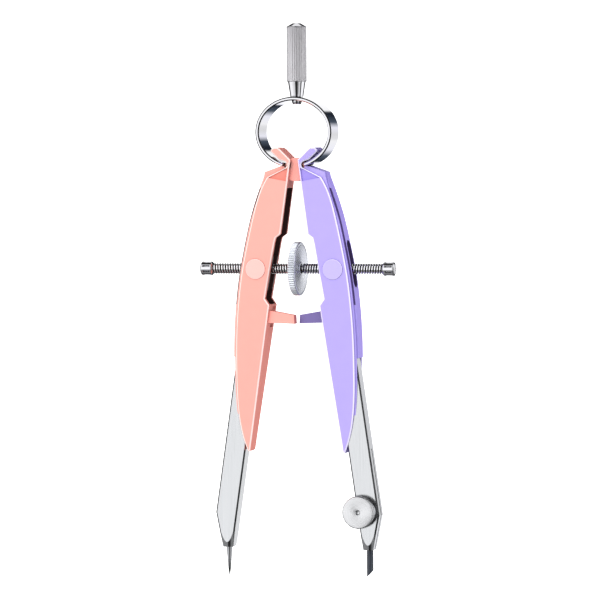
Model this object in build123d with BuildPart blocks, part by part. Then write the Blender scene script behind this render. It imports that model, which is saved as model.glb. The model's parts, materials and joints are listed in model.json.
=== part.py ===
"""Spring-bow drawing compass: two moulded leg housings on a centre spindle, hung from a spring ring.

Frame: origin at the middle of the finger grip, +Z up along the handle, +X towards the lead leg,
-Y towards the front.  Profiles are drawn on planes whose origin is the head pivot, where the two
legs turn on each other, so a profile point is (x, height above the pivot).
"""
import os

from build123d import *

# ---- driving dimensions, mm ----
GRIP_MIDDLE = 34.6              # height of the grip's middle above the head pivot

GRIP_R = 3.0
GRIP_BOTTOM = 26.25
GRIP_TOP = 42.93
CORE_R = 1.6                    # stem's core inside the grip sleeve
CAP_TOP = 43.7
CAP_TOP_R = 1.28
COLLAR_TOP_R = 2.7
COLLAR_BOTTOM_R = 1.98
STEM_R = 1.25                   # stem's neck through the ring
NUT_TOP = 20.7
NUT_BOTTOM = 19.45
NUT_TOP_R = 1.6
NUT_BOTTOM_R = 1.3

RING_CENTRE = 11.15             # height of the ring's centre
RING_RX = 11.8
RING_RZ = 10.57
RING_THICK = 0.9
RING_WIDTH = 9.0
RING_TIP_X = 3.5                # the ring is open between its two tips

# housing outlines at the front face, right-hand leg, from the pivot
HORN = [(1.15, 2.9), (4.4, 6.1), (5.1, 6.55), (6.4, 6.6), (7.2, 5.9), (7.2, 5.4), (4.6, 2.95), (3.1, 2.5)]
NOTCH_END = (2.25, 1.55)        # the round end that holds a ring tip
NOTCH_LOW = (2.87, 0.42)
SHOULDER = (8.35, -2.25)
CREST = (9.8, -4.8)
OUTER_EDGE = [(13.0, -14.7), (14.75, -22.5), (16.25, -30.2), (17.5, -39.8), (18.15, -48.5)]
OUTER_EDGE_LOW = [(18.4, -60.2), (17.95, -72.6), (16.9, -79.2)]
TIP = (15.05, -84.8)
TIP_INNER = (14.5, -84.5)
INNER_KNEE = (7.84, -40.6)      # where the thumbwheel recess starts, below
RECESS = [(9.2, -38.6), (6.15, -21.9), (5.75, -20.4), (4.28, -19.3)]
BEAD_PROUD = 0.55               # the middle band's edge stands proud of the face's edge, in two steps
SPINE_PROUD = 1.1
BEAD_INSET = 0.8
SPINE_INSET = 1.6
BEAD_END = -73.4
SPINE_END = -56.3
LAYER_OVERRUN = 9               # the bands are drawn this far past their ends, then cut square
SHOULDER_MID = [(3.1, 0.9), (4.1, 1.1), (9.35, -0.75)]

# half depth of a housing along its length: widest at the spindle, slim at the tip
HALF_DEPTH = [(3.95, 8.0), (4.1, -14.0), (4.45, -34.0), (4.3, -48.0), (3.65, -67.0), (3.05, -86.0)]

FACE_CHAMFER = 0.35
EDGE_FILLET = 0.2
BIG_FACE_FROM = 2.9             # the front and rear faces are at least this far from the middle
LAYER_BACK = [(10.2, -40.6), (7.0, -20.0), (2.6, -1.0)]     # hidden inner edge of the outer bands
FACET = [(2.0, 0.45), (2.9, 0.15), (8.1, -2.45), (2.5, -3.45)]
FACET_LEVEL = 3.5               # depth of the shallow facets' floor from the middle

TONGUE_R = 3.5                  # left head's tongue turns in the right head's pocket
TONGUE_HALF = 2.3
POCKET_GAP = 0.06
POCKET_HALF = 2.42

CAVITY_HALF = 2.85
BOSS_HALF = 1.95
CAVITY_TOP = -5.55
CAVITY_BOTTOM = -40.3
BOSS_TOP = -26.0
BOSS_BOTTOM = -36.0
CAVITY_WALL = 1.5               # left outside the cavity, behind the outer edge
SLOT_TOP = -21.1
SLOT_BOTTOM = -35.3
SLOT_HALF = 2.0

TAB = [(8.9, -42.1), (0.45, -43.6), (0.3, -46.2), (9.2, -45.9)]
TAB_NEAR = 0.25                 # each tab fills one half of the depth
TAB_FAR = 3.2
TAB_SIDE_GAP = 0.15
TAB_POCKET = (14.5, -47.4, -41.1)            # deepest x, lowest and highest point of its pocket

TRUNNION = (12.0, -29.76)
TRUNNION_R = 3.1
NUT_R = 3.0
NUT_HALF = 3.8
NUT_WEB_R = 2.5                 # web that closes the nut between its two peg holes
BUTTON_R = 3.05
BUTTON_FACE = 4.72
BUTTON_FILLET = 0.25
PEG_R = 0.9
PEG_DEPTH = 1.1

SPINDLE_R = 1.6
SPINDLE_CLEAR = 0.05
SPINDLE_HALF = 29.3
STOP_R = 2.1
STOP_INNER = 26.5
STOP_OUTER = 30.2
WHEEL_R = 8.1
WHEEL_THICK = 2.1
HUB_R = 2.05
HUB_PROUD = 0.12
WHEEL_CHAMFER = 0.25
STOP_CHAMFER = 0.4

# metal lower legs: straight bars tilted outwards
BAR_INNER_X = 16.0              # inner edge at BAR_REF
BAR_REF = -84.15
BAR_SLOPE = 0.146
BAR_WIDTH = 6.7
BAR_HALF = 2.6
BAR_TOP = -49.7
BAR_KINK = -103.3
BAR_END = -113.8
BAR_END_X = 23.45
BAR_CHAMFER = 0.45
POINT_X = 22.0                  # needle and lead both stand on vertical axes at this distance
CONE_END_R = 2.3
CONE_SLOPE = 0.2
NEEDLE_R = 0.935
NEEDLE_TOP = -101.5
NEEDLE_SHOULDER = -120.6
NEEDLE_TIP_R = 0.4
NEEDLE_TIP = -123.0
LEAD_R = 1.0
LEAD_GAP = 0.03
LEAD_TOP = -95.0
LEAD_BORE_TOP = -94.4
LEAD_HEEL = -119.9
LEAD_TIP = -122.0
SLIT_HALF = 0.3
SLIT_TOP = -83.5
CLAMP = (19.8, -102.2)
CLAMP_R = 0.8
CLAMP_GAP = 0.05
CLAMP_HEAD_R = 4.9
CLAMP_HEAD_INNER = -2.66
CLAMP_HEAD_OUTER = -5.95
CLAMP_HEAD_CHAMFER = 0.2
CLAMP_SHANK_END = 2.4
DIMPLE_R = 0.7
DIMPLE_DEPTH = 0.5

# ---- planes through the head pivot ----
PIVOT = (0, 0, -GRIP_MIDDLE)
front = Plane(origin=PIVOT, x_dir=(1, 0, 0), z_dir=(0, -1, 0))
side = Plane(origin=PIVOT, x_dir=(0, 1, 0), z_dir=(1, 0, 0))
level = Plane(origin=PIVOT, x_dir=(1, 0, 0), z_dir=(0, 0, 1))
LEFT = -1
RIGHT = 1
REACH = 40                      # longer than anything that is cut through
OVERRUN = 1                     # a cut that has to run past a face goes this far past it
OVERLAP = 0.01                  # neighbouring cuts overlap by this much


def sided(points, hand):
    """The right-hand points, or their mirror image for the left leg."""
    return [(hand * x, z) for x, z in points]


def height(z):
    """Height in the part's frame of a height above the pivot."""
    return z - GRIP_MIDDLE


def save(part, name):
    part.label = name
    export_step(part, f"parts/{name}.step")


def bar_inner(z):
    """Distance of the metal leg's inner edge from the middle plane."""
    return BAR_INNER_X + BAR_SLOPE * (BAR_REF - z)


def outer_points(proud):
    """The outer edge from the crest to the tip, moved outwards."""
    points = [CREST] + OUTER_EDGE + OUTER_EDGE_LOW
    return [(x + proud, z) for x, z in points]


def turned(profile, x=0.0):
    """A solid of revolution about a vertical axis, from (radius, height) points."""
    with BuildPart() as solid:
        with BuildSketch(front):
            with BuildLine():
                Polyline([(x + r, z) for r, z in profile], close=True)
            make_face()
        revolve(axis=Axis((x, 0, 0), (0, 0, 1)))
    return solid.part


def spun(profile):
    """A solid of revolution about the spindle's axis, from (x, radius) points."""
    with BuildPart() as solid:
        with BuildSketch(front):
            with BuildLine():
                Polyline([(x, TRUNNION[1] + r) for x, r in profile], close=True)
            make_face()
        revolve(axis=Axis((0, 0, height(TRUNNION[1])), (1, 0, 0)))
    return solid.part


def belly(inset):
    """The side view of a housing: everything within its half depth, less an inset."""
    rear = [(y - inset, z) for y, z in HALF_DEPTH]
    with BuildPart() as slab:
        with BuildSketch(side):
            with BuildLine():
                back = Spline([(y, z) for y, z in rear])
                face = Spline([(-y, z) for y, z in rear])
                Line(back @ 0, face @ 0)
                Line(back @ 1, face @ 1)
            make_face()
        extrude(amount=REACH, both=True)
    return slab.part


def on_big_faces(edge):
    """True for an edge that lies wholly on the front or the rear face of a layer."""
    return all(abs((edge @ t).Y) > BIG_FACE_FROM for t in (0, 0.5, 1))


def face_layer(hand):
    """The full-depth layer of a housing, with the horn, the notch and a chamfered outline."""
    side_view = belly(0)
    with BuildPart() as layer:
        with BuildSketch(front):
            with BuildLine():
                horn = Polyline(sided(HORN, hand))
                end = ThreePointArc(horn @ 1, *sided([NOTCH_END, NOTCH_LOW], hand))
                lip = Line(end @ 1, (hand * SHOULDER[0], SHOULDER[1]))
                edge = Spline([lip @ 1] + sided(outer_points(0) + [TIP], hand))
                Polyline([edge @ 1] + sided([TIP_INNER, INNER_KNEE] + RECESS + [HORN[0]], hand))
            make_face()
        extrude(amount=REACH, both=True)
        add(side_view, mode=Mode.INTERSECT)
        chamfer([edge for edge in layer.edges() if on_big_faces(edge)], FACE_CHAMFER)
    return layer.part


def edge_layer(hand, proud, inset, lowest):
    """A narrower layer that stands proud of the face's outer edge."""
    edge_points = [point for point in outer_points(proud) if point[1] > lowest - LAYER_OVERRUN]
    bottom = edge_points[-1][1]
    side_view = belly(inset)
    with BuildPart() as layer:
        with BuildSketch(front):
            with BuildLine():
                top = Polyline(sided(SHOULDER_MID, hand))
                edge = Spline([top @ 1] + sided(edge_points, hand))
                Polyline([edge @ 1] + sided([(bar_inner(bottom), bottom)] + LAYER_BACK, hand) + [top @ 0])
            make_face()
        extrude(amount=REACH, both=True)
        add(side_view, mode=Mode.INTERSECT)
        with BuildSketch(level.offset(lowest)):
            Rectangle(2 * REACH, 2 * REACH)
        extrude(amount=-REACH, mode=Mode.SUBTRACT)
        outer = layer.faces().sort_by(Axis.X)[-1 if hand == RIGHT else 0]
        fillet([edge for edge in outer.edges() if edge.length > REACH], EDGE_FILLET)
    return layer.part


def outer_x(z, proud):
    """Distance of the outer edge from the middle plane at one height."""
    points = outer_points(proud)
    for (x_high, high), (x_low, low) in zip(points, points[1:]):
        if low <= z <= high:
            return x_high + (x_low - x_high) * (high - z) / (high - low)
    raise ValueError(f"no outer edge at {z}")


def cavity(hand, top, bottom, half):
    """A stretch of the hollow behind the inner edge, open towards the other leg."""
    proud = SPINE_PROUD - CAVITY_WALL
    deep = [point for point in outer_points(proud) if bottom < point[1] < top]
    back = [(outer_x(top, proud), top)] + deep + [(outer_x(bottom, proud), bottom)]
    with BuildPart() as hollow:
        with BuildSketch(front):
            with BuildLine():
                Polyline(sided([(0, top)] + back + [(0, bottom)], hand), close=True)
            make_face()
        extrude(amount=half, both=True)
    return hollow.part


def bar_blank(hand):
    """A metal leg before it is drilled: a tilted bar, chamfered, with a cone turned on its end."""
    outline = [(bar_inner(BAR_TOP), BAR_TOP), (bar_inner(BAR_TOP) + BAR_WIDTH, BAR_TOP),
               (bar_inner(BAR_KINK) + BAR_WIDTH, BAR_KINK), (BAR_END_X, BAR_END),
               (bar_inner(BAR_END), BAR_END)]
    cone_top = BAR_TOP + OVERRUN
    cone = turned([(0, BAR_END), (CONE_END_R, BAR_END),
                   (CONE_END_R + CONE_SLOPE * (cone_top - BAR_END), cone_top), (0, cone_top)],
                  hand * POINT_X)
    with BuildPart() as bar:
        with BuildSketch(front):
            with BuildLine():
                Polyline(sided(outline, hand), close=True)
            make_face()
        extrude(amount=BAR_HALF, both=True)
        faces = bar.faces().filter_by(Axis.Y)
        chamfer([edge for edge in faces.edges() if edge.length > BAR_WIDTH + OVERRUN], BAR_CHAMFER)
        add(cone, mode=Mode.INTERSECT)
    return bar.part


def half_depth_slab(near, far, corners):
    """A straight block between two depths (towards the front is positive), from front-view corners."""
    with BuildPart() as slab:
        with BuildSketch(front.offset(near)):
            with BuildLine():
                Polyline(corners, close=True)
            make_face()
        extrude(amount=far - near)
    return slab.part


def leg_housing(hand):
    """One moulded leg.  The left one has the tongue and the front tab, the right one the pocket."""
    near, far = (TAB_NEAR, TAB_FAR) if hand == LEFT else (-TAB_FAR, -TAB_NEAR)
    deepest, low, high = TAB_POCKET
    layers = [face_layer(hand), edge_layer(hand, BEAD_PROUD, BEAD_INSET, BEAD_END),
              edge_layer(hand, SPINE_PROUD, SPINE_INSET, SPINE_END)]
    tab = half_depth_slab(near, far, sided(TAB, hand))
    # the other leg's tab slides in a pocket; the hollow behind the inner edge is narrower between
    # the trunnion bosses
    pocket = half_depth_slab(-far - TAB_SIDE_GAP, -near + TAB_SIDE_GAP,
                             sided([(0, low), (deepest, low), (deepest, high), (0, high)], hand))
    hollows = [cavity(hand, CAVITY_TOP, BOSS_TOP, CAVITY_HALF),
               cavity(hand, BOSS_TOP + OVERLAP, BOSS_BOTTOM - OVERLAP, BOSS_HALF),
               cavity(hand, BOSS_BOTTOM, CAVITY_BOTTOM, CAVITY_HALF)]
    bar = bar_blank(hand)
    mouth_x = bar_inner(SPINE_END) + BAR_WIDTH - OVERRUN
    with BuildPart() as housing:
        add(layers)
        if hand == LEFT:
            with BuildSketch(front):
                Circle(TONGUE_R)
            extrude(amount=TONGUE_HALF, both=True)
        else:
            with BuildSketch(front):
                Circle(TONGUE_R + POCKET_GAP)
            extrude(amount=POCKET_HALF, both=True, mode=Mode.SUBTRACT)
        add(tab)
        add([pocket] + hollows, mode=Mode.SUBTRACT)
        # slot in the spine for the spindle
        with BuildSketch(side):
            with Locations((0, (SLOT_TOP + SLOT_BOTTOM) / 2)):
                SlotOverall(SLOT_TOP - SLOT_BOTTOM, 2 * SLOT_HALF, rotation=90)
        extrude(amount=hand * REACH, mode=Mode.SUBTRACT)
        # bores for the trunnion
        with BuildSketch(front):
            with Locations((hand * TRUNNION[0], TRUNNION[1])):
                Circle(TRUNNION_R)
        extrude(amount=REACH, both=True, mode=Mode.SUBTRACT)
        # shallow facets under the notch, front and rear
        for face in (front, Plane(origin=PIVOT, x_dir=(-1, 0, 0), z_dir=(0, 1, 0))):
            flip = 1 if face is front else -1
            with BuildSketch(face.offset(FACET_LEVEL)):
                with BuildLine():
                    Polyline([(flip * x, z) for x, z in sided(FACET, hand)], close=True)
                make_face()
            extrude(amount=REACH, mode=Mode.SUBTRACT)
        # seat of the metal leg, open on the outer side below the spine
        add(bar, mode=Mode.SUBTRACT)
        with BuildSketch(front):
            with BuildLine():
                Polyline(sided([(mouth_x, SPINE_END), (REACH, SPINE_END), (REACH, BAR_END),
                                (mouth_x + BAR_SLOPE * (SPINE_END - BAR_END), BAR_END)], hand), close=True)
            make_face()
        extrude(amount=BAR_HALF, both=True, mode=Mode.SUBTRACT)
    return housing.part


def trunnion_button(hand, facing):
    """Round cover on one end of a trunnion, with a peg; facing is 1 at the front, -1 at the rear."""
    centre = (hand * TRUNNION[0], 0, height(TRUNNION[1]))
    plane = Plane(origin=centre, x_dir=(1, 0, 0), z_dir=(0, -facing, 0))
    with BuildPart() as button:
        with BuildSketch(plane.offset(NUT_HALF)):
            Circle(BUTTON_R)
        extrude(amount=BUTTON_FACE - NUT_HALF)
        rim = button.faces().sort_by(Axis.Y)[0 if facing == 1 else -1].edges()
        fillet(rim, BUTTON_FILLET)
        with BuildSketch(plane.offset(NUT_HALF - PEG_DEPTH)):
            Circle(PEG_R)
        extrude(amount=PEG_DEPTH)
    return button.part


os.makedirs("parts", exist_ok=True)

# ---- handle ----
save(turned([(0, GRIP_TOP), (GRIP_R, GRIP_TOP), (CAP_TOP_R, CAP_TOP), (0, CAP_TOP)]), "top_cap")
save(turned([(CORE_R, GRIP_BOTTOM), (GRIP_R, GRIP_BOTTOM), (GRIP_R, GRIP_TOP), (CORE_R, GRIP_TOP)]),
     "grip_sleeve")
ring_top = RING_CENTRE + RING_RZ
save(turned([(0, NUT_BOTTOM), (STEM_R, NUT_BOTTOM), (STEM_R, ring_top), (COLLAR_BOTTOM_R, ring_top),
             (COLLAR_TOP_R, GRIP_BOTTOM), (CORE_R, GRIP_BOTTOM), (CORE_R, GRIP_TOP), (0, GRIP_TOP)]),
     "handle_stem")
save(turned([(STEM_R, NUT_BOTTOM), (NUT_BOTTOM_R, NUT_BOTTOM), (NUT_TOP_R, NUT_TOP), (STEM_R, NUT_TOP)]),
     "ring_nut")

with BuildPart() as spring_ring:
    with BuildSketch(front.offset(-RING_WIDTH / 2)):
        with Locations((0, RING_CENTRE)):
            Ellipse(RING_RX, RING_RZ)
            Ellipse(RING_RX - RING_THICK, RING_RZ - RING_THICK, mode=Mode.SUBTRACT)
        with Locations((0, 0)):
            Rectangle(2 * RING_TIP_X, RING_CENTRE, mode=Mode.SUBTRACT)
    extrude(amount=RING_WIDTH)
    with BuildSketch(level.offset(RING_CENTRE)):
        Circle(STEM_R)
    extrude(amount=REACH, mode=Mode.SUBTRACT)
save(spring_ring.part, "spring_ring")

# ---- legs ----
for hand, word in ((LEFT, "left"), (RIGHT, "right")):
    save(leg_housing(hand), f"{word}_leg_housing")

    with BuildPart() as spindle_nut:
        with BuildSketch(front):
            with Locations((hand * TRUNNION[0], TRUNNION[1])):
                Circle(NUT_R)
                Circle(PEG_R, mode=Mode.SUBTRACT)
        extrude(amount=NUT_HALF, both=True)
        with BuildSketch(front):
            with Locations((hand * TRUNNION[0], TRUNNION[1])):
                Circle(NUT_WEB_R)
        extrude(amount=NUT_HALF - PEG_DEPTH, both=True)
        with BuildSketch(side):
            with Locations((0, TRUNNION[1])):
                Circle(SPINDLE_R + SPINDLE_CLEAR)
        extrude(amount=hand * REACH, mode=Mode.SUBTRACT)
    save(spindle_nut.part, f"{word}_spindle_nut")

    save(trunnion_button(hand, 1), f"{word}_button_front")
    save(trunnion_button(hand, -1), f"{word}_button_rear")

left_bar = bar_blank(LEFT)
with BuildPart() as needle_leg:
    add(left_bar)
    with BuildSketch(level.offset(BAR_END)):
        with Locations((LEFT * POINT_X, 0)):
            Circle(NEEDLE_R)
    extrude(amount=NEEDLE_TOP - BAR_END, mode=Mode.SUBTRACT)
save(needle_leg.part, "needle_leg")

save(turned([(0, NEEDLE_TOP), (NEEDLE_R, NEEDLE_TOP), (NEEDLE_R, BAR_END), (NEEDLE_TIP_R, NEEDLE_SHOULDER),
             (0, NEEDLE_TIP)], LEFT * POINT_X), "needle")

right_bar = bar_blank(RIGHT)
with BuildPart() as lead_leg:
    add(right_bar)
    with BuildSketch(level.offset(BAR_END)):
        with Locations((POINT_X, 0)):
            Circle(LEAD_R + LEAD_GAP)
    extrude(amount=LEAD_BORE_TOP - BAR_END, mode=Mode.SUBTRACT)
    with BuildSketch(front):
        with Locations(CLAMP):
            Circle(CLAMP_R + CLAMP_GAP)
    extrude(amount=REACH, both=True, mode=Mode.SUBTRACT)
    with BuildSketch(front):
        with Locations((POINT_X, (SLIT_TOP + BAR_END) / 2)):
            Rectangle(REACH, SLIT_TOP - BAR_END)
    extrude(amount=SLIT_HALF, both=True, mode=Mode.SUBTRACT)
save(lead_leg.part, "lead_leg")

with BuildPart() as lead:
    with BuildSketch(level.offset(LEAD_TIP)):
        with Locations((POINT_X, 0)):
            Circle(LEAD_R)
    extrude(amount=LEAD_TOP - LEAD_TIP)
    with BuildSketch(front):
        with BuildLine():
            Polyline([(POINT_X - LEAD_R, LEAD_TIP), (POINT_X + LEAD_R, LEAD_HEEL),
                      (POINT_X + 2 * LEAD_R, LEAD_HEEL), (POINT_X + 2 * LEAD_R, LEAD_TIP - OVERRUN),
                      (POINT_X - LEAD_R, LEAD_TIP - OVERRUN)], close=True)
        make_face()
    extrude(amount=REACH, both=True, mode=Mode.SUBTRACT)
save(lead.part, "lead")

with BuildPart() as clamp_screw:
    with BuildSketch(front.offset(-CLAMP_HEAD_INNER)):
        with Locations(CLAMP):
            Circle(CLAMP_HEAD_R)
    extrude(amount=CLAMP_HEAD_INNER - CLAMP_HEAD_OUTER)
    chamfer(clamp_screw.edges().filter_by(GeomType.CIRCLE), CLAMP_HEAD_CHAMFER)
    with BuildSketch(front.offset(-CLAMP_HEAD_OUTER - DIMPLE_DEPTH)):
        with Locations(CLAMP):
            Circle(DIMPLE_R)
    extrude(amount=DIMPLE_DEPTH, mode=Mode.SUBTRACT)
    with BuildSketch(front.offset(-CLAMP_SHANK_END)):
        with Locations(CLAMP):
            Circle(CLAMP_R)
    extrude(amount=CLAMP_SHANK_END - CLAMP_HEAD_INNER)
save(clamp_screw.part, "clamp_screw")

# ---- spindle ----
save(spun([(-SPINDLE_HALF, 0), (-SPINDLE_HALF, SPINDLE_R), (SPINDLE_HALF, SPINDLE_R), (SPINDLE_HALF, 0)]),
     "threaded_spindle")
rim = WHEEL_THICK / 2
save(spun([(-rim - HUB_PROUD, SPINDLE_R), (-rim - HUB_PROUD, HUB_R), (-rim, HUB_R),
           (-rim, WHEEL_R - WHEEL_CHAMFER), (-rim + WHEEL_CHAMFER, WHEEL_R), (rim - WHEEL_CHAMFER, WHEEL_R),
           (rim, WHEEL_R - WHEEL_CHAMFER), (rim, HUB_R), (rim + HUB_PROUD, HUB_R),
           (rim + HUB_PROUD, SPINDLE_R)]), "thumbwheel")
for hand, word in ((LEFT, "left"), (RIGHT, "right")):
    bore_r = SPINDLE_R + SPINDLE_CLEAR
    bore_end = SPINDLE_HALF + SPINDLE_CLEAR
    save(spun([(hand * STOP_INNER, bore_r), (hand * STOP_INNER, STOP_R - STOP_CHAMFER),
               (hand * (STOP_INNER + STOP_CHAMFER), STOP_R), (hand * (STOP_OUTER - STOP_CHAMFER), STOP_R),
               (hand * STOP_OUTER, STOP_R - STOP_CHAMFER), (hand * STOP_OUTER, 0), (hand * bore_end, 0),
               (hand * bore_end, bore_r)]), f"{word}_end_stop")
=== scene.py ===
"""Looks of a spring-bow drawing compass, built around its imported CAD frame.

Everything is in metres in the row's frame: +Z up along the handle, +X towards the lead leg,
-Y towards the front, and the origin in the middle of the finger grip.
"""
import json
import math

import bmesh
import bpy
from mathutils import Matrix, Vector


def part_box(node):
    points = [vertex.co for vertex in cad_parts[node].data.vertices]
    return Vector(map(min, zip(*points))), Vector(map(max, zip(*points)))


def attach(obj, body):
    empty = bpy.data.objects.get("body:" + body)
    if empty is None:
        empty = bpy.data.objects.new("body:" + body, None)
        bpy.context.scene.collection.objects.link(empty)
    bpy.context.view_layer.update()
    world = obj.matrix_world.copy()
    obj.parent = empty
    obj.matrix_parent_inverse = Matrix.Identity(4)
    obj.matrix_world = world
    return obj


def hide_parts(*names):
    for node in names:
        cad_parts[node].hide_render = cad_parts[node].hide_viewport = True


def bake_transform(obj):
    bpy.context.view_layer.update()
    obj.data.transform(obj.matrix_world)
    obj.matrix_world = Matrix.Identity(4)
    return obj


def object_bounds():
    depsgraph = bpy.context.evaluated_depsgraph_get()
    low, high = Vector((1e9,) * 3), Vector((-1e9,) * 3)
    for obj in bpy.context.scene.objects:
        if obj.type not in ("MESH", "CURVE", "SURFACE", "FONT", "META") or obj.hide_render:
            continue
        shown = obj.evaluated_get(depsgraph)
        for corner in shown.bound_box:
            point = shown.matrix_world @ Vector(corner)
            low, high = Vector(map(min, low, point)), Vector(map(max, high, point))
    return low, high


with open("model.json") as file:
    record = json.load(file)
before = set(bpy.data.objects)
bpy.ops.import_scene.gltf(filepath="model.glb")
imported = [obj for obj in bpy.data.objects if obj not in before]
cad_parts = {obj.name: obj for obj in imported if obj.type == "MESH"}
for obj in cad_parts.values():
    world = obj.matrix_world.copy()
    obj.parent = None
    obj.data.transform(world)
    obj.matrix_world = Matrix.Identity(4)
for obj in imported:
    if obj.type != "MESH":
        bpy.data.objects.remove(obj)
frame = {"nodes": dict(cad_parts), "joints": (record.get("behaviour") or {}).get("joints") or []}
cad_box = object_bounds()
MM = 0.001
X, Y, Z = range(3)
LEFT, RIGHT = -1, 1             # the sign of X on each leg's side
joints = {joint["name"]: joint for joint in frame["joints"]}
PIVOT = Vector(joints["left_leg_swing"]["pos_m"])
SPINDLE_AXIS = Vector(joints["wheel_spin"]["pos_m"])
CLAMP_AXIS = Vector(joints["clamp_screw_turn"]["pos_m"])


# ---------------------------------------------------------------- node helpers
class Nodes:
    """A small wrapper that adds and links the nodes of one material or world."""

    def __init__(self, tree):
        self.tree = tree

    def add(self, kind, **settings):
        node = self.tree.nodes.new(kind)
        for name, value in settings.items():
            setattr(node, name, value)
        return node

    def link(self, source, target):
        self.tree.links.new(source, target)

    def math(self, operation, first, second=0.0):
        node = self.add("ShaderNodeMath", operation=operation)
        for socket, value in zip(node.inputs, (first, second)):
            if isinstance(value, (int, float)):
                socket.default_value = value
            else:
                self.link(value, socket)
        return node.outputs[0]

    def product(self, first, *others):
        """The values multiplied together."""
        for value in others:
            first = self.math("MULTIPLY", first, value)
        return first

    def weighted(self, first, share, second):
        """A share of the first value and the rest of the second."""
        return self.math("ADD", self.product(first, share), self.product(second, 1 - share))

    def within(self, value, low, high):
        """1 where the value lies between the two bounds, otherwise 0."""
        return self.product(self.math("GREATER_THAN", value, low), self.math("LESS_THAN", value, high))

    def length(self, across, along):
        """Length of the hypotenuse over two sides."""
        return self.math("SQRT", self.math("ADD", self.product(across, across), self.product(along, along)))

    def split(self, vector):
        """The X, Y and Z of a vector."""
        node = self.add("ShaderNodeSeparateXYZ")
        self.link(vector, node.inputs[0])
        return node.outputs

    def ramp(self, factor, stops):
        """A colour ramp of (position, grey or colour) stops, lowest first."""
        node = self.add("ShaderNodeValToRGB")
        elements = node.color_ramp.elements
        while len(elements) < len(stops):
            elements.new(0.5)
        for element, (position, value) in zip(elements, stops):
            colour = (value,) * 3 if isinstance(value, (int, float)) else value
            element.position = position
            element.color = (*colour, 1.0)
        self.link(factor, node.inputs["Fac"])
        return node.outputs["Color"]

    def noise(self, coordinates, scale, detail, stretch=(1, 1, 1)):
        """Noise in object space; scale is in cells per metre."""
        mapping = self.add("ShaderNodeMapping")
        mapping.inputs["Scale"].default_value = stretch
        self.link(coordinates, mapping.inputs["Vector"])
        node = self.add("ShaderNodeTexNoise")
        node.inputs["Scale"].default_value = scale
        node.inputs["Detail"].default_value = detail
        self.link(mapping.outputs["Vector"], node.inputs["Vector"])
        return node.outputs["Fac"]

    def mix(self, factor, first, second, blend="MIX"):
        node = self.add("ShaderNodeMix", data_type="RGBA", blend_type=blend)
        sockets = (node.inputs[0], node.inputs[6], node.inputs[7])      # the factor and two colours
        for socket, value in zip(sockets, (factor, first, second)):
            if isinstance(value, (int, float)):
                socket.default_value = value
            elif isinstance(value, tuple):
                socket.default_value = (*value, 1.0)
            else:
                self.link(value, socket)
        return node.outputs[2]

    def tinted(self, colour, tint):
        """The product of two colours."""
        return self.mix(1.0, colour, tint, "MULTIPLY")

    def bump(self, height, distance, strength):
        node = self.add("ShaderNodeBump")
        node.inputs["Distance"].default_value = distance
        node.inputs["Strength"].default_value = strength
        self.link(height, node.inputs["Height"])
        return node.outputs["Normal"]

    def open_share(self, distance):
        """1 where a surface is open to its surroundings, towards 0 deep in a crevice."""
        node = self.add("ShaderNodeAmbientOcclusion", samples=6)
        node.inputs["Distance"].default_value = distance
        return node.outputs["AO"]


def linear(red, green, blue):
    """Linear colour of an sRGB colour given from 0 to 255."""
    def channel(value):
        value /= 255
        return value / 12.92 if value <= 0.04045 else ((value + 0.055) / 1.055) ** 2.4
    return channel(red), channel(green), channel(blue)


def shader(name, **sockets):
    """A new material: its nodes, its Principled shader and its object coordinates."""
    material = bpy.data.materials.new(name)
    material.use_nodes = True
    nodes = Nodes(material.node_tree)
    principled = material.node_tree.nodes["Principled BSDF"]
    for socket, value in sockets.items():
        principled.inputs[socket.replace("_", " ")].default_value = value
    place = nodes.add("ShaderNodeTexCoord").outputs["Object"]
    return material, nodes, principled, place


# ---------------------------------------------------------------- plastic
# slope is 1 on a leg's front and rear faces, and 0 on the edges between them
# by it the sides take a darker copy of the face colour as painted shade, and the chamfers a pale painted
# highlight
FACE_SHARE = [(0.3, 0.0), (0.6, 1.0)]
CHAMFER_SHARE = [(0.4, 0.0), (0.52, 1.0), (0.86, 1.0), (0.95, 0.0)]
FACE_SLOPE = 0.9
EDGE_SLOPE = 0.3
EDGE_HIGHLIGHT = 0.9
MOTTLE_CELLS = 260              # noise cells per metre
MOTTLE = [(0.35, 0.98), (0.65, 1.0)]
GLOSS_CELLS = 900
GLOSS = [(0.3, 0.40), (0.7, 0.52)]
GRAIN_CELLS = 7000
GRAIN_HEIGHT = 0.01 * MM
GRAIN_STRENGTH = 0.6
# painted shade in creases: how far it looks for a facing surface, and how dark it gets by how open the
# surface is
CREASE_REACH = 0.6 * MM
CREASE_SHADE = [(0.3, 0.5), (0.7, 1.0)]
RECESS_HALF = 1.0 * MM          # faces nearer the middle plane belong to the guide tab and its pocket, and get painted shade
RECESS_SHADE = 0.62
FACET_DEPTHS = (3.3 * MM, 3.65 * MM)        # the lowered facets under the notches lie in this layer, and get the side colour as painted shade
FACET_FROM = PIVOT.z - 4.2 * MM
FACET_SHADE = 0.85
# painted shadow, near black, round the ring tip in each notch
NOTCH_CENTRE = (2.75 * MM, 1.3 * MM)        # from the pivot, where a ring tip sits
NOTCH_SPREAD = 2.0 * MM
NOTCH_FADE = [(0.7, 1.0), (1.0, 0.0)]
NOTCH_SHADOW_COLOUR = (0.01, 0.008, 0.01)
HOLLOW_HALF = 2.88 * MM         # the moulded hollows, whose faces get painted shade, lie within this depth of the middle plane
HOLLOW_HEIGHTS = (PIVOT.z - 40.4 * MM, PIVOT.z - 5.5 * MM)
OUTWARD = 0.5                   # surfaces that face outwards more than this aren't in a hollow


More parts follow.
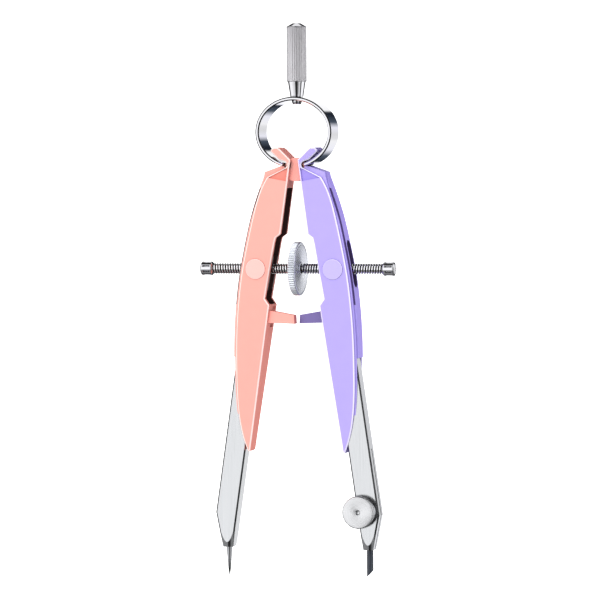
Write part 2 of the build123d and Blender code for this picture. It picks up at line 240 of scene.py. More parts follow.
def plastic(name, hand, face, side, edge, deep):
    """Satin moulded plastic with spark-eroded grain, painted shade on its sides, creases, hollows, guide
    tab, facets and notches, and painted highlights on its chamfers.

    hand is LEFT or RIGHT; side is a darker copy of the face colour that paints shade on the sides, edge is
    a pale colour that paints highlights on the chamfers, and deep is a dark colour that paints shade inside
    the hollows.
    """
    material, nodes, principled, place = shader(name, Specular_IOR_Level=0.25)
    facing = nodes.split(nodes.add("ShaderNodeTexCoord").outputs["Normal"])
    slope = nodes.math("ABSOLUTE", facing["Y"])
    at = nodes.split(place)
    depth = nodes.math("ABSOLUTE", at["Y"])
    on_face = nodes.math("GREATER_THAN", slope, FACE_SLOPE)

    # painted shade: the sides take the darker side colour; painted highlight: the chamfers take the pale
    # edge colour
    body = nodes.mix(nodes.ramp(slope, FACE_SHARE), side, face)
    body = nodes.mix(nodes.product(nodes.ramp(slope, CHAMFER_SHARE), EDGE_HIGHLIGHT), body, edge)
    body = nodes.tinted(body, nodes.ramp(nodes.noise(place, MOTTLE_CELLS, 3), MOTTLE))
    # painted shade in creases
    body = nodes.tinted(body, nodes.ramp(nodes.open_share(CREASE_REACH), CREASE_SHADE))

    # painted shade on the guide tab and its pocket, in the hollow colour
    recessed = nodes.product(nodes.math("LESS_THAN", depth, RECESS_HALF), on_face, RECESS_SHADE)
    body = nodes.mix(recessed, body, deep)

    # painted shade: the facets under the notches take the side colour
    facet = nodes.product(nodes.within(depth, *FACET_DEPTHS),
                          nodes.math("GREATER_THAN", at["Z"], FACET_FROM), on_face, FACET_SHADE)
    body = nodes.mix(facet, body, side)

    # painted shadow round the ring tip in each notch
    away = nodes.length(nodes.math("SUBTRACT", at["X"], hand * NOTCH_CENTRE[0]),
                        nodes.math("SUBTRACT", at["Z"], PIVOT.z + NOTCH_CENTRE[1]))
    notch_shadow = nodes.product(nodes.ramp(nodes.math("DIVIDE", away, NOTCH_SPREAD), NOTCH_FADE),
                          nodes.math("LESS_THAN", slope, EDGE_SLOPE))
    body = nodes.mix(notch_shadow, body, NOTCH_SHADOW_COLOUR)

    # painted shade inside the moulded hollows
    hollow = nodes.product(nodes.within(at["Z"], *HOLLOW_HEIGHTS),
                           nodes.math("LESS_THAN", depth, HOLLOW_HALF),
                           nodes.math("LESS_THAN", nodes.product(facing["X"], hand), OUTWARD))
    body = nodes.mix(hollow, body, deep)

    nodes.link(body, principled.inputs["Base Color"])
    nodes.link(nodes.ramp(nodes.noise(place, GLOSS_CELLS, 4), GLOSS), principled.inputs["Roughness"])
    grain = nodes.noise(place, GRAIN_CELLS, 3)
    nodes.link(nodes.bump(grain, GRAIN_HEIGHT, GRAIN_STRENGTH), principled.inputs["Normal"])
    return material


# ---------------------------------------------------------------- metals and lead
GROOVE_REACH = 0.7 * MM         # how far the painted groove shade looks for the other side of a groove
FLUTE_REACH = 0.05 * MM         # the same on the grip, whose flutes get almost no painted shade
GROOVE_SHADE = [(0.25, 0.04), (0.45, 0.3), (0.75, 1.0)]        # painted shade in grooves, by how open the surface is
BRUSH_CELLS = 9000              # noise cells per metre
STREAK_CELLS = 1200
STREAK = [(0.35, 0.0), (0.65, 1.0)]
BRUSH_STRETCH = 0.02            # scale of the noise along the marks, which is 1 across them
BRUSH_SHARE = 0.6               # of the fine marks, against the broad streaks
BRUSH_RELIEF = 0.004 * MM
TURNING_CELLS = 9000
TURNING_RELIEF = 0.006 * MM
TURNING_SHEEN = 0.85            # how far the turned rings draw out a highlight
SMUDGE_CELLS = 500
SMUDGE_SHARE = 0.7              # against the scratches
SCRATCH_CELLS = 6000
SCRATCH_STRETCH = 0.05
SCRATCH_RELIEF = 0.0015 * MM
NEEDLE_DARKENING = (PIVOT.z - 120.6 * MM, PIVOT.z - 117.0 * MM)    # dark at the tip, fading to the needle's colour between these heights
NEEDLE_TIP_COLOUR = (0.07, 0.072, 0.078)
NEEDLE_COLOUR = (0.36, 0.365, 0.38)
NEEDLE_SHADE = [(0.3, 0.8), (0.7, 1.0)]
NEEDLE_ROUGHNESS = [(0.3, 0.06), (0.7, 0.14)]
NEEDLE_RELIEF = 0.003 * MM
LEAD_CELLS = 5000
LEAD_STRETCH = 0.08
LEAD_COLOUR = [(0.3, (0.012, 0.015, 0.022)), (0.7, (0.05, 0.06, 0.08))]
LEAD_ROUGHNESS = [(0.3, 0.24), (0.7, 0.38)]
LEAD_RELIEF = 0.01 * MM


def brushed(name, colour, streak, low, high, along, reach=GROOVE_REACH):
    """Brushed metal, of roughness low to high; the brush marks run along an axis, X, Y or Z."""
    material, nodes, principled, place = shader(name, Metallic=1.0)
    stretch = tuple(BRUSH_STRETCH if axis == along else 1 for axis in (X, Y, Z))
    fine = nodes.noise(place, BRUSH_CELLS, 3, stretch)
    broad = nodes.noise(place, STREAK_CELLS, 2, stretch)
    marks = nodes.weighted(fine, BRUSH_SHARE, broad)
    body = nodes.mix(nodes.ramp(marks, STREAK), streak, colour)
    # painted shade, darker in grooves and crevices
    groove_shade = nodes.ramp(nodes.open_share(reach), GROOVE_SHADE)
    nodes.link(nodes.tinted(body, groove_shade), principled.inputs["Base Color"])
    nodes.link(nodes.ramp(marks, [(0.3, low), (0.7, high)]), principled.inputs["Roughness"])
    nodes.link(nodes.bump(fine, BRUSH_RELIEF, strength=0.8), principled.inputs["Normal"])
    return material


def turned_metal(name, colour, metallic, low, high, centre, axis):
    """Metal faced on a lathe, of roughness low to high: fine rings round an axis through a centre."""
    material, nodes, principled, place = shader(name, Metallic=metallic, Anisotropic=TURNING_SHEEN)
    # painted shade, darker in grooves and crevices
    groove_shade = nodes.ramp(nodes.open_share(GROOVE_REACH), GROOVE_SHADE)
    nodes.link(nodes.tinted(colour, groove_shade), principled.inputs["Base Color"])
    tangent = nodes.add("ShaderNodeTangent", direction_type="RADIAL", axis="XYZ"[axis])
    nodes.link(tangent.outputs["Tangent"], principled.inputs["Tangent"])
    at = nodes.split(place)
    across = [nodes.math("SUBTRACT", at[i], centre[i]) for i in (X, Y, Z) if i != axis]
    noise = nodes.add("ShaderNodeTexNoise", noise_dimensions="1D")
    noise.inputs["Scale"].default_value = TURNING_CELLS
    noise.inputs["Detail"].default_value = 3
    nodes.link(nodes.length(*across), noise.inputs["W"])
    rings = noise.outputs["Fac"]
    nodes.link(nodes.ramp(rings, [(0.3, low), (0.7, high)]), principled.inputs["Roughness"])
    nodes.link(nodes.bump(rings, TURNING_RELIEF, strength=0.7), principled.inputs["Normal"])
    return material


def polished(name, colour, low, high):
    """Bright plated metal, of roughness low to high, with faint smudges and hairline scratches."""
    material, nodes, principled, place = shader(name, Metallic=1.0)
    # painted shade, darker in grooves and crevices
    groove_shade = nodes.ramp(nodes.open_share(GROOVE_REACH), GROOVE_SHADE)
    nodes.link(nodes.tinted(colour, groove_shade), principled.inputs["Base Color"])
    smudge = nodes.noise(place, SMUDGE_CELLS, 4)
    scratch = nodes.noise(place, SCRATCH_CELLS, 2, (1, SCRATCH_STRETCH, 1))
    marks = nodes.weighted(smudge, SMUDGE_SHARE, scratch)
    nodes.link(nodes.ramp(marks, [(0.35, low), (0.65, high)]), principled.inputs["Roughness"])
    nodes.link(nodes.bump(scratch, SCRATCH_RELIEF, strength=0.5), principled.inputs["Normal"])
    return material


def needle_steel():
    """Polished point steel, darker towards its tip."""
    material, nodes, principled, place = shader("needle_steel", Metallic=1.0)
    towards_tip = nodes.add("ShaderNodeMapRange")
    nodes.link(nodes.split(place)["Z"], towards_tip.inputs["Value"])
    towards_tip.inputs["From Min"].default_value = NEEDLE_DARKENING[0]
    towards_tip.inputs["From Max"].default_value = NEEDLE_DARKENING[1]
    body = nodes.mix(towards_tip.outputs["Result"], NEEDLE_TIP_COLOUR, NEEDLE_COLOUR)
    scratch = nodes.noise(place, SCRATCH_CELLS, 3, (1, 1, SCRATCH_STRETCH))
    body = nodes.tinted(body, nodes.ramp(scratch, NEEDLE_SHADE))
    nodes.link(body, principled.inputs["Base Color"])
    nodes.link(nodes.ramp(scratch, NEEDLE_ROUGHNESS), principled.inputs["Roughness"])
    nodes.link(nodes.bump(scratch, NEEDLE_RELIEF, strength=0.6), principled.inputs["Normal"])
    return material


def graphite():
    """Drawing lead: dark, slightly metallic, with fine streaks along it."""
    material, nodes, principled, place = shader("graphite", Metallic=0.3)
    streak = nodes.noise(place, LEAD_CELLS, 4, (1, 1, LEAD_STRETCH))
    nodes.link(nodes.ramp(streak, LEAD_COLOUR), principled.inputs["Base Color"])
    nodes.link(nodes.ramp(streak, LEAD_ROUGHNESS), principled.inputs["Roughness"])
    nodes.link(nodes.bump(streak, LEAD_RELIEF, strength=0.6), principled.inputs["Normal"])
    return material


CHROME = (0.60, 0.60, 0.625)
THREAD = (0.84, 0.84, 0.86)
ALUMINIUM = (0.66, 0.65, 0.675)
ALUMINIUM_STREAK = (0.55, 0.54, 0.565)
STEEL = (0.53, 0.54, 0.555)
STEEL_STREAK = (0.47, 0.48, 0.495)
WHEEL = (0.72, 0.75, 0.81)
SCREW = (0.61, 0.615, 0.63)

# each plastic takes a face colour, a darker copy as painted shade on the sides, a pale colour as painted
# highlight on the chamfers, and a dark colour as painted shade in the hollows
materials = {
    "salmon": plastic("salmon_plastic", LEFT, linear(247, 166, 154), linear(222, 129, 114),
                      linear(255, 232, 226), linear(66, 40, 38)),
    "salmon_light": plastic("salmon_light_plastic", LEFT, linear(249, 188, 180), linear(204, 120, 108),
                            linear(255, 224, 217), linear(150, 110, 104)),
    "lavender": plastic("lavender_plastic", RIGHT, linear(174, 160, 229), linear(152, 136, 218),
                        linear(236, 230, 255), linear(72, 58, 104)),
    "lavender_light": plastic("lavender_light_plastic", RIGHT, linear(187, 176, 236),
                              linear(120, 102, 190), linear(226, 217, 255), linear(130, 115, 165)),
    "nut_plastic": plastic("dark_nut_plastic", RIGHT, linear(88, 73, 84), linear(84, 70, 80),
                           linear(110, 94, 106), linear(40, 32, 38)),
    "chrome": polished("chrome_plate", CHROME, low=0.03, high=0.08),
    "grip": brushed("grip_aluminium", ALUMINIUM, ALUMINIUM_STREAK, low=0.42, high=0.55, along=Z,
                    reach=FLUTE_REACH),
    "steel": brushed("brushed_steel", STEEL, STEEL_STREAK, low=0.12, high=0.2, along=Z),
    "lead": graphite(),
}
wheel_metal = turned_metal("turned_wheel_metal", WHEEL, metallic=0.75, low=0.14, high=0.26,
                           centre=SPINDLE_AXIS, axis=X)
clamp_metal = turned_metal("turned_screw_metal", SCREW, metallic=1.0, low=0.16, high=0.3,
                           centre=CLAMP_AXIS, axis=Y)
thread_metal = polished("thread_metal", THREAD, low=0.06, high=0.12)
needle_metal = needle_steel()

# the carried-over CAD nodes take the material of their slot
for node in frame["nodes"].values():
    for slot in node.material_slots:
        slot.material = materials[slot.material.name.split(".")[0]]
frame["nodes"]["needle"].material_slots[0].material = needle_metal


# ---------------------------------------------------------------- mesh helpers
SHARP_DEGREES = 35
ROUNDING_SHARE = 0.45           # of the shorter side, the most that a rounded corner takes
ON_AXIS = 1e-9                  # a smaller radius is a single point
LATHE_STEPS = 96
ALONG_X = Matrix.Rotation(math.radians(90), 4, "Y")         # local +Z to +X
ALONG_MINUS_X = Matrix.Rotation(math.radians(-90), 4, "Y")  # local +Z to -X
ALONG_FRONT = Matrix.Rotation(math.radians(90), 4, "X")     # local +Z to -Y


def rounded(profile, radius, steps=3):
    """The profile with each inner corner rounded by a short curve."""
    points = [Vector(point) for point in profile]
    result = [points[0]]
    for before, corner, after in zip(points, points[1:], points[2:]):
        reach = min(radius, ROUNDING_SHARE * (corner - before).length,
                    ROUNDING_SHARE * (after - corner).length)
        start = corner + (before - corner).normalized() * reach
        end = corner + (after - corner).normalized() * reach
        for i in range(steps + 1):
            t = i / steps
            result.append((1 - t) ** 2 * start + 2 * t * (1 - t) * corner + t ** 2 * end)
    result.append(points[-1])
    return result


def revolved(profile, steps, shape=None):
    """A closed lathe mesh about Z from (along, radius) points; shape(angle, along, radius) bends it."""
    bm = bmesh.new()
    rings = []
    for along, radius in profile:
        if radius < ON_AXIS:
            rings.append([bm.verts.new((0, 0, along))])
            continue
        ring = []
        for i in range(steps):
            angle = 2 * math.pi * i / steps
            r = shape(angle, along, radius) if shape else radius
            ring.append(bm.verts.new((r * math.cos(angle), r * math.sin(angle), along)))
        rings.append(ring)
    for low, high in zip(rings, rings[1:]):
        for i in range(steps):
            j = (i + 1) % steps
            corners = [low[i % len(low)], low[j % len(low)], high[j % len(high)], high[i % len(high)]]
            bm.faces.new(list(dict.fromkeys(corners)))
    bmesh.ops.recalc_face_normals(bm, faces=bm.faces)
    return bm


def smooth(mesh, sharp=SHARP_DEGREES):
    """Smooth shading that keeps the edges sharper than an angle."""
    mesh.polygons.foreach_set("use_smooth", [True] * len(mesh.polygons))
    mesh.set_sharp_from_angle(angle=math.radians(sharp))


def piece(name, bm, place, material, sharp=SHARP_DEGREES):
    """A smooth-shaded piece from a bmesh, placed by a matrix, with its sharp edges kept."""
    mesh = bpy.data.meshes.new(name)
    bm.transform(place)
    bm.to_mesh(mesh)
    bm.free()
    smooth(mesh, sharp)
    mesh.materials.append(material)
    obj = bpy.data.objects.new(name, mesh)
    bpy.context.scene.collection.objects.link(obj)
    return obj


def cut_with(obj, cutter_bm, place):
    """Boolean difference, applied; the cutter is removed again."""
    cutter = piece("cutter", cutter_bm, place, materials["chrome"])
    modifier = obj.modifiers.new("cut", "BOOLEAN")
    modifier.operation = "DIFFERENCE"
    modifier.solver = "EXACT"
    modifier.object = cutter
    evaluated = obj.evaluated_get(bpy.context.evaluated_depsgraph_get())
    mesh = bpy.data.meshes.new_from_object(evaluated)
    obj.modifiers.clear()
    obj.data = mesh
    smooth(mesh)
    bpy.data.objects.remove(cutter)


def size(node):
    """Lowest corner, highest corner and radius across X of a node's box."""
    low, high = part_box(node)
    return low, high, (high.x - low.x) / 2


def limited(value):
    """The value, held between 0 and 1."""
    return min(1.0, max(0.0, value))


def wave(angle, count):
    """0 to 1 and back, count times round."""
    return 0.5 - 0.5 * math.cos(count * angle)


# ---------------------------------------------------------------- handle
GRIP_FLUTES = 28
GRIP_FLUTE_STEPS = 6
GRIP_FLUTE_DEPTH = 0.1 * MM
GRIP_FLUTE_POWER = 3            # a higher one makes narrower flutes
GRIP_RIM = 0.28 * MM            # plain turned rim at each end
GRIP_STEP = 0.02 * MM           # from the rim down to the fluted part
GRIP_EDGE = 0.12 * MM
GRIP_BORE = 0.5                 # of the stem's radius
CAP_SKIRT = 0.26 * MM           # the cap's cone starts this far below the sleeve's end
CAP_LAND = 0.06 * MM            # short cylinder under the cone
CAP_FLAT = 1.28 * MM            # radius of the cap's flat top
CAP_DIMPLE = 0.55 * MM
CAP_DIMPLE_DEPTH = 0.3 * MM
CAP_ROUNDING = 0.12 * MM
NUT_BORE = 1.2 * MM
NUT_CHAMFER = 0.3 * MM          # height of the chamfer at the nut's lower end
NUT_CHAMFER_TOP = 1.4 * MM      # radius above it
NUT_END = 1.1 * MM              # radius below it
NUT_ROUNDING = 0.14 * MM


def make_grip():
    """Finger grip: shallow flutes between two plain rims."""
    low, high, radius = size("grip_sleeve")
    high.z -= CAP_SKIRT

    def fluted(angle, along, r):
        inside = min(along - low.z, high.z - along) > GRIP_RIM
        return r - inside * GRIP_FLUTE_DEPTH * wave(angle, GRIP_FLUTES) ** GRIP_FLUTE_POWER

    inner = size("handle_stem")[2] * GRIP_BORE
    end = [(0, inner), (0, radius - GRIP_EDGE), (GRIP_EDGE, radius), (0.9 * GRIP_RIM, radius),
           (1.1 * GRIP_RIM, radius - GRIP_STEP)]
    profile = [(low.z + x, r) for x, r in end] + [(high.z - x, r) for x, r in reversed(end)]
    bm = revolved(profile, GRIP_FLUTES * GRIP_FLUTE_STEPS, fluted)
    grip = piece("fluted_grip", bm, Matrix.Identity(4), materials["grip"])
    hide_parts("grip_sleeve")
    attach(grip, "handle")


def make_cap():
    """Shallow cone with a flat, dimpled top."""
    low, high, radius = size("top_cap")
    low.z -= CAP_SKIRT
    profile = rounded([(low.z, 0), (low.z, radius), (low.z + CAP_LAND, radius), (high.z, CAP_FLAT),
                       (high.z, CAP_DIMPLE), (high.z - CAP_DIMPLE_DEPTH, 0)], CAP_ROUNDING)
    bm = revolved(profile, LATHE_STEPS)
    cap = piece("turned_cap", bm, Matrix.Identity(4), materials["chrome"])
    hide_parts("top_cap")
    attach(cap, "handle")


def make_ring_nut():
    """Cone that narrows downwards inside the ring, with a chamfered end."""
    low, high, radius = size("ring_nut")
    profile = rounded([(high.z, NUT_BORE), (high.z, radius), (low.z + NUT_CHAMFER, NUT_CHAMFER_TOP),
                       (low.z, NUT_END), (low.z, 0)], NUT_ROUNDING)
    bm = revolved(profile, LATHE_STEPS)
    nut = piece("turned_ring_nut", bm, Matrix.Identity(4), materials["chrome"])
    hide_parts("ring_nut")
    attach(nut, "handle")


# ---------------------------------------------------------------- spring ring
RING_STEPS = 96
RING_HALF_HEIGHT = 10.57 * MM
RING_THICK = 1.12 * MM
RING_TIP_THICK = 0.9 * MM
RING_TAPER = 12                 # steps over which the band thins to its tips
RING_CHAMFER = 0.34 * MM
RING_TIP_X = 3.5 * MM
STEM_HOLE = 1.27 * MM
DRILL_HALF = 2 * MM
DRILL_STEPS = 64


def chamfered_band(half_width, thick, chamfer):
    """The band's section as (across, inwards) points, with a flat chamfer on each edge."""
    quarter = [(half_width, thick - chamfer), (half_width - chamfer, thick)]
    half = quarter + [(-x, z) for x, z in reversed(quarter)]
    return half + [(x, thick - z) for x, z in reversed(half)]


def make_ring_half(hand, word):
    """Half of the spring band, from its top to one tip, with chamfered edges and half the stem's hole."""
    low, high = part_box("spring_ring")
    rx, half_width = high.x, high.y
    centre = high.z - RING_HALF_HEIGHT
    first, last = math.pi / 2, -math.acos(RING_TIP_X / rx)
    section = chamfered_band(half_width, RING_THICK, RING_CHAMFER)
    bm = bmesh.new()
    rings = []
    for i in range(RING_STEPS + 1):
        angle = first + (last - first) * i / RING_STEPS
        cos, sin = math.cos(angle), math.sin(angle)
        normal = Vector((cos / rx, 0, sin / RING_HALF_HEIGHT)).normalized()
        base = Vector((rx * cos, 0, RING_HALF_HEIGHT * sin))
        thin = min(1.0, (RING_STEPS - i) / RING_TAPER)
        share = (RING_TIP_THICK + (RING_THICK - RING_TIP_THICK) * thin) / RING_THICK
        ring = []
        for across, inwards in section:
            point = base - inwards * share * normal
            ring.append(bm.verts.new((hand * point.x if i else 0, across, centre + point.z)))
        rings.append(ring)
    count = len(section)
    for near, far in zip(rings, rings[1:]):
        for k in range(count):
            bm.faces.new([near[k], near[(k + 1) % count], far[(k + 1) % count], far[k]])
    bm.faces.new(rings[0])
    bm.faces.new(rings[-1])
    bmesh.ops.recalc_face_normals(bm, faces=bm.faces)
    half = piece(f"spring_ring_{word}", bm, Matrix.Identity(4), materials["chrome"])
    drill = revolved([(-DRILL_HALF, 0), (-DRILL_HALF, STEM_HOLE), (DRILL_HALF, STEM_HOLE),
                      (DRILL_HALF, 0)], DRILL_STEPS)
    cut_with(half, drill, Matrix.Translation((0, 0, high.z)))
    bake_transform(half)
    return half


def make_ring():
    """Both halves of the spring band, built in place of its CAD node, which is hidden."""
    left = make_ring_half(LEFT, "left")
    right = make_ring_half(RIGHT, "right")
    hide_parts("spring_ring")
    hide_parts("spring_ring")


# ---------------------------------------------------------------- spindle
PITCH = 0.8 * MM
THREAD_SIDES = 40
THREAD_STEP = PITCH / 10
THREAD_DEPTH = 0.6 * MM
THREAD_GAP = 0.14               # share of half a pitch that the thread's root takes
THREAD_FLANK = 0.42             # and that its flank takes
PLAIN_HALF = 1.3 * MM           # unthreaded middle under the thumbwheel
RUN_OUT = 0.8 * MM
ROD_END = 0.7                   # share of the root's radius that is left at the rod's ends

WHEEL_RIDGES = 72
WHEEL_RIDGE_STEPS = 8
WHEEL_RIDGE_DEPTH = 0.24 * MM
WHEEL_RIDGE_POWER = 0.7         # below 1 makes the ridges narrower than the gaps
WHEEL_KNURL_REACH = 0.3 * MM    # the ridges fade over this much below the rim
WHEEL_BORE = 1.5 * MM
WHEEL_HUB = 2.05 * MM
WHEEL_HUB_HEIGHT = 0.12 * MM
WHEEL_HUB_FLARE = 0.05 * MM
WHEEL_ROUNDING = 0.06 * MM
# a shallow groove and the rim's chamfer, as mm below the side and mm in from the rim
WHEEL_SIDE = [(0, 1.15), (0.07, 1.05), (0.07, 0.72), (0, 0.62), (0, 0.34), (0.26, 0)]

STOP_GROOVES = 8
STOP_GROOVE_DEPTH = 0.5 * MM
STOP_GROOVE_HALF = math.radians(9)
STOP_GROOVE_RUN_OUT = 0.25 * MM
STOP_GROOVE_STEPS = 24          # round the stop, for each groove
STOP_STEPS = 14                 # along the grooves
STOP_BORE = 1.5 * MM
STOP_RIM = 0.62 * MM
STOP_CHAMFER = 0.34 * MM
STOP_BACK_ROUNDING = 0.1 * MM
STOP_FACE_ROUNDING = 0.12 * MM
STOP_MOUTH = (0.25 * MM, 0.2 * MM)          # depth and width of the chamfer at the bore's mouth
STOP_DRILLING = (0.35 * MM, 0.45 * MM)      # depth and radius of the centre drilling


def make_spindle():
    """Rod with a right-hand thread on the left half and a left-hand thread on the right half."""
    low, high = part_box("threaded_spindle")
    crest = (high.z - low.z) / 2
    root = crest - THREAD_DEPTH

    def threaded(angle, along, r):
        if r < root:
            return r
        phase = (abs(along) / PITCH + angle / (2 * math.pi)) % 1
        ridge = limited((abs(2 * phase - 1) - THREAD_GAP) / THREAD_FLANK)
        start = limited((abs(along) - PLAIN_HALF) / RUN_OUT)
        end = limited((high.x - abs(along)) / RUN_OUT)
        return root + (crest - root) * ridge * start * end

    count = round((high.x - low.x) / THREAD_STEP)
    body = [(low.x + (high.x - low.x) * i / count, root) for i in range(count + 1)]
    profile = [(low.x, 0), (low.x, root * ROD_END)] + body + [(high.x, root * ROD_END), (high.x, 0)]
    bm = revolved(profile, THREAD_SIDES, threaded)
    place = Matrix.Translation(SPINDLE_AXIS) @ ALONG_X
    rod = piece("threaded_rod", bm, place, thread_metal, sharp=60)
    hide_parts("threaded_spindle")
    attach(rod, "spindle")


def make_wheel():
    """Thumbwheel: straight-knurled rim between chamfers, grooved sides, and a small hub."""
    low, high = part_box("thumbwheel")
    rim = high.y
    end = (high.x - low.x) / 2
    face = end - WHEEL_HUB_HEIGHT
    half = [(end, WHEEL_BORE), (end, WHEEL_HUB), (face, WHEEL_HUB + WHEEL_HUB_FLARE)]
    half += [(face - below * MM, rim - inside * MM) for below, inside in WHEEL_SIDE]
    profile = [(-x, r) for x, r in half] + [(x, r) for x, r in reversed(half)]

    def knurled(angle, along, r):
        on_rim = max(0.0, (r - (rim - WHEEL_KNURL_REACH)) / WHEEL_KNURL_REACH)
        return r - WHEEL_RIDGE_DEPTH * on_rim * wave(angle, WHEEL_RIDGES) ** WHEEL_RIDGE_POWER

    bm = revolved(rounded(profile, WHEEL_ROUNDING, 2), WHEEL_RIDGES * WHEEL_RIDGE_STEPS, knurled)
    place = Matrix.Translation(SPINDLE_AXIS) @ ALONG_X
    wheel = piece("knurled_thumbwheel", bm, place, wheel_metal, sharp=50)
    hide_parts("thumbwheel")
    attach(wheel, "spindle")


def make_end_stop(hand, word):
    """Cap on the spindle's end: axial grooves between two plain chamfered rims, centre-drilled."""
    node = f"{word}_end_stop"
    low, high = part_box(node)
    radius = (high.z - low.z) / 2
    inner, outer = sorted((abs(low.x), abs(high.x)))
    span = outer - inner

    def grooved(angle, along, r):
        into = min(along - STOP_RIM, span - STOP_RIM - along)
        window = limited(into / STOP_GROOVE_RUN_OUT)
        nearest = (angle * STOP_GROOVES / (2 * math.pi) + 0.5) % 1 - 0.5
        offset = abs(nearest) * 2 * math.pi / STOP_GROOVES / STOP_GROOVE_HALF
        return r - STOP_GROOVE_DEPTH * window * max(0.0, 1 - offset ** 2) ** 0.5

    middle = [(STOP_RIM + (span - 2 * STOP_RIM) * i / STOP_STEPS, radius) for i in range(STOP_STEPS + 1)]
    mouth_depth, mouth_width = STOP_MOUTH
    back = rounded([(mouth_depth, STOP_BORE), (0, STOP_BORE + mouth_width), (0, radius - STOP_CHAMFER),
                    (STOP_CHAMFER, radius), (STOP_RIM, radius)], STOP_BACK_ROUNDING)
    drilling_depth, drilling_radius = STOP_DRILLING
    face = rounded([(span - STOP_RIM, radius), (span - STOP_CHAMFER, radius),
                    (span, radius - STOP_CHAMFER), (span, drilling_radius),
                    (span - drilling_depth, 0)], STOP_FACE_ROUNDING)
    bm = revolved(back[:-1] + middle + face[1:], STOP_GROOVES * STOP_GROOVE_STEPS, grooved)
    turn = ALONG_X if hand == RIGHT else ALONG_MINUS_X
    place = Matrix.Translation(SPINDLE_AXIS + Vector((hand * inner, 0, 0))) @ turn
    twist = Matrix.Rotation(math.pi / STOP_GROOVES, 4, "Z")
    stop = piece(f"grooved_stop_{word}", bm, place @ twist, materials["chrome"], sharp=40)
    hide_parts(node)
    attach(stop, "spindle_stops")


# ---------------------------------------------------------------- clamp screw
CLAMP_RIDGES = 90
CLAMP_RIDGE_STEPS = 6
CLAMP_RIDGE_DEPTH = 0.07 * MM
CLAMP_KNURL_REACH = 0.12 * MM   # the ridges start this far inside the head's edge
CLAMP_KNURL_FADE = 0.1 * MM
CLAMP_SHANK = 0.8 * MM
CLAMP_UNDER_CHAMFER = 0.2 * MM
CLAMP_TOP_CHAMFER = 0.3 * MM
CLAMP_ROUNDING = 0.05 * MM
# the centre dimple, as mm below the head's face and mm from the axis
CLAMP_DIMPLE = [(0, 0.75), (0.45, 0.5), (0.5, 0)]


def make_clamp_screw():
    """Large flat screw head with a fine-knurled edge and a centre dimple, on its shank."""
    low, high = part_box("clamp_screw")
    radius = (high.x - low.x) / 2
    shank_end = CLAMP_AXIS.y - high.y
    head_top = CLAMP_AXIS.y - low.y
    profile = [(shank_end, 0), (shank_end, CLAMP_SHANK), (0, CLAMP_SHANK),
               (0, radius - CLAMP_UNDER_CHAMFER), (CLAMP_UNDER_CHAMFER, radius),
               (head_top - CLAMP_TOP_CHAMFER, radius), (head_top, radius - CLAMP_TOP_CHAMFER)]
    profile += [(head_top - below * MM, r * MM) for below, r in CLAMP_DIMPLE]

    def knurled(angle, along, r):
        on_rim = limited((r - (radius - CLAMP_KNURL_REACH)) / CLAMP_KNURL_FADE)
        return r - CLAMP_RIDGE_DEPTH * on_rim * wave(angle, CLAMP_RIDGES)

    bm = revolved(rounded(profile, CLAMP_ROUNDING), CLAMP_RIDGES * CLAMP_RIDGE_STEPS, knurled)
    place = Matrix.Translation(CLAMP_AXIS) @ ALONG_FRONT
    screw = piece("clamp_screw_head", bm, place, clamp_metal, sharp=45)
    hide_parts("clamp_screw")
    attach(screw, "clamp_screw")


make_grip()
make_cap()
make_ring_nut()
make_ring()
make_spindle()
make_wheel()
make_end_stop(LEFT, "left")
make_end_stop(RIGHT, "right")
make_clamp_screw()


# ---------------------------------------------------------------- studio
VIEW_AZIMUTH = math.radians(16)
VIEW_ELEVATION = math.radians(2.5)
VIEW_DISTANCE = 1.1
VIEW_ROLL = math.radians(-0.33)
VIEW_WIDTH = 0.18               # what the picture's width shows, at the object's distance
VIEW_TARGET = Vector((0.00061, 0, -0.07375))
FLOOR_HALF = 12.0
FLOOR_GAP = 0.0002              # under the points
SOFT_BOX_SIDE = 0.8
STUDIO_STRENGTH = 1.6
SOFT_FILL = (0.62, 0.62, 0.63)
WHITE = (1.0, 1.0, 1.0)
# brightness by degrees from the front (-Y) towards +X
WALLS = [(-180, 0.8), (-141, 0.8), (-138, 0.02), (-110, 0.02), (-106, 0.9), (-60, 1.0),
         (-9, 1.0), (-5, 0.02), (14, 0.03), (30, 0.25), (44, 0.9), (60, 1.0),
         (130, 0.95), (135, 0.04), (158, 0.04), (161, 0.8), (180, 0.8)]
# brightness by height, from 0 straight down to 1 straight up: in front, low down and straight overhead
# are dark, and at the rear, round and sloping metal sees a dark table edge and a dark low ceiling
FRONT_HEIGHTS = [(0.0, 0.2), (0.33, 0.25), (0.38, 1.0), (0.93, 1.0), (0.95, 0.06)]
REAR_HEIGHTS = [(0.1, 1.0), (0.14, 0.04), (0.32, 0.04), (0.35, 1.0), (0.65, 1.0), (0.68, 0.04),
                (0.86, 0.04), (0.9, 1.0)]
REAR_FROM = 0.35
# a dark hoop round the object, near the plane of its legs, which 45 degree chamfers reflect
HOOP_LEAN = (0.286, 0.046)
HOOP = [(0.0, 0.02), (0.13, 0.02), (0.17, 1.0)]
# behind the object, sectors that the spring ring reflects, by degrees from +X upwards
PALE, SLATE, INK = (0.93, 0.93, 1.0), (0.07, 0.09, 0.12), (0.015, 0.02, 0.03)
FAN = [(-180, 1.0), (-128, PALE), (-120, INK), (-90, SLATE), (-66, PALE), (-34, 1.0), (-24, 0.85),
       (-8, 0.8), (16, PALE), (36, SLATE), (62, INK), (74, INK), (84, 1.0), (180, 1.0)]
FAN_FROM = 0.86


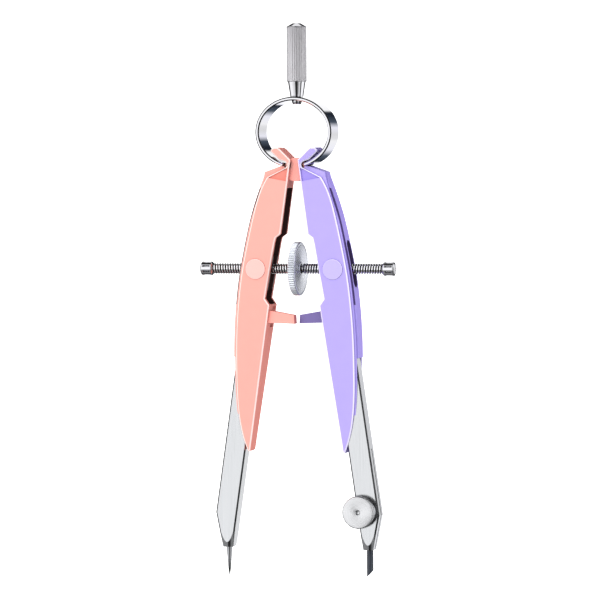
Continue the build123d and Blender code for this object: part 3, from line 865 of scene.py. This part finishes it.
def make_camera():
    data = bpy.data.cameras.new("camera")
    data.lens = data.sensor_width * VIEW_DISTANCE / VIEW_WIDTH
    data.clip_start = 0.01
    data.clip_end = 50
    camera = bpy.data.objects.new("camera", data)
    bpy.context.scene.collection.objects.link(camera)
    away = Vector((math.sin(VIEW_AZIMUTH) * math.cos(VIEW_ELEVATION),
                   -math.cos(VIEW_AZIMUTH) * math.cos(VIEW_ELEVATION), math.sin(VIEW_ELEVATION)))
    turn = away.to_track_quat("Z", "Y").to_matrix().to_4x4() @ Matrix.Rotation(VIEW_ROLL, 4, "Z")
    camera.matrix_world = Matrix.Translation(VIEW_TARGET + VIEW_DISTANCE * away) @ turn
    bpy.context.scene.camera = camera


def make_floor():
    """Plain pale floor just under the points; it lights nothing and shows in no reflection."""
    level = cad_box[0][2] - FLOOR_GAP
    mesh = bpy.data.meshes.new("floor")
    corners = [(x * FLOOR_HALF, y * FLOOR_HALF, level) for x, y in ((-1, -1), (1, -1), (1, 1), (-1, 1))]
    mesh.from_pydata(corners, [], [(0, 1, 2, 3)])
    floor = bpy.data.objects.new("floor", mesh)
    bpy.context.scene.collection.objects.link(floor)
    mesh.materials.append(shader("pale_floor", Base_Color=(0.9, 0.9, 0.9, 1), Roughness=0.9,
                                 Emission_Color=(1, 1, 1, 1), Emission_Strength=0.8)[0])
    floor.visible_diffuse = False
    floor.visible_glossy = False


def round_ramp(nodes, opposite, adjacent, stops):
    """A ramp over a whole turn, with its stops in degrees, by the angle of a direction's two parts."""
    turn = nodes.math("ARCTAN2", opposite, adjacent)
    share = nodes.math("ADD", nodes.math("DIVIDE", turn, 2 * math.pi), 0.5)
    return nodes.ramp(share, [((degrees + 180) / 360, value) for degrees, value in stops])


def make_studio_light():
    """Soft box light all round, with dark flags that give the bright metal its dark bands."""
    world = bpy.data.worlds.new("studio")
    bpy.context.scene.world = world
    world.use_nodes = True
    nodes = Nodes(world.node_tree)
    x, y, z = nodes.split(nodes.add("ShaderNodeTexCoord").outputs["Generated"])
    colour = round_ramp(nodes, x, nodes.product(y, -1), WALLS)
    height = nodes.math("ADD", nodes.product(z, 0.5), 0.5)
    heights = nodes.mix(nodes.math("GREATER_THAN", y, REAR_FROM), nodes.ramp(height, FRONT_HEIGHTS),
                        nodes.ramp(height, REAR_HEIGHTS))
    colour = nodes.tinted(colour, heights)
    lean = nodes.math("ADD", nodes.product(x, HOOP_LEAN[0]), nodes.product(z, HOOP_LEAN[1]))
    hoop = nodes.math("ABSOLUTE", nodes.math("ADD", y, lean))
    colour = nodes.tinted(colour, nodes.ramp(hoop, HOOP))
    fan = nodes.mix(nodes.math("GREATER_THAN", y, FAN_FROM), WHITE, round_ramp(nodes, z, x, FAN))
    colour = nodes.tinted(colour, fan)
    ray = nodes.add("ShaderNodeLightPath").outputs
    shown = nodes.mix(ray["Is Diffuse Ray"], colour, SOFT_FILL)     # matt surfaces are lit evenly
    shown = nodes.mix(ray["Is Camera Ray"], shown, WHITE)           # the backdrop is plain white
    background = world.node_tree.nodes["Background"]
    nodes.link(shown, background.inputs["Color"])
    background.inputs["Strength"].default_value = STUDIO_STRENGTH


def make_soft_box(name, away, energy):
    """Large soft box; the bright metal doesn't mirror it."""
    data = bpy.data.lights.new(name, "AREA")
    data.shape = "RECTANGLE"
    data.size = SOFT_BOX_SIDE
    data.size_y = SOFT_BOX_SIDE
    data.energy = energy
    light = bpy.data.objects.new(name, data)
    bpy.context.scene.collection.objects.link(light)
    turn = away.to_track_quat("Z", "Y").to_matrix().to_4x4()
    light.matrix_world = Matrix.Translation(VIEW_TARGET + away) @ turn
    light.visible_glossy = False


make_camera()
make_floor()
make_studio_light()
make_soft_box("key", Vector((-0.5, -0.85, 0.6)), energy=7)
make_soft_box("fill", Vector((1.1, -0.15, 0.2)), energy=4)
bpy.context.scene.view_settings.view_transform = "Standard"
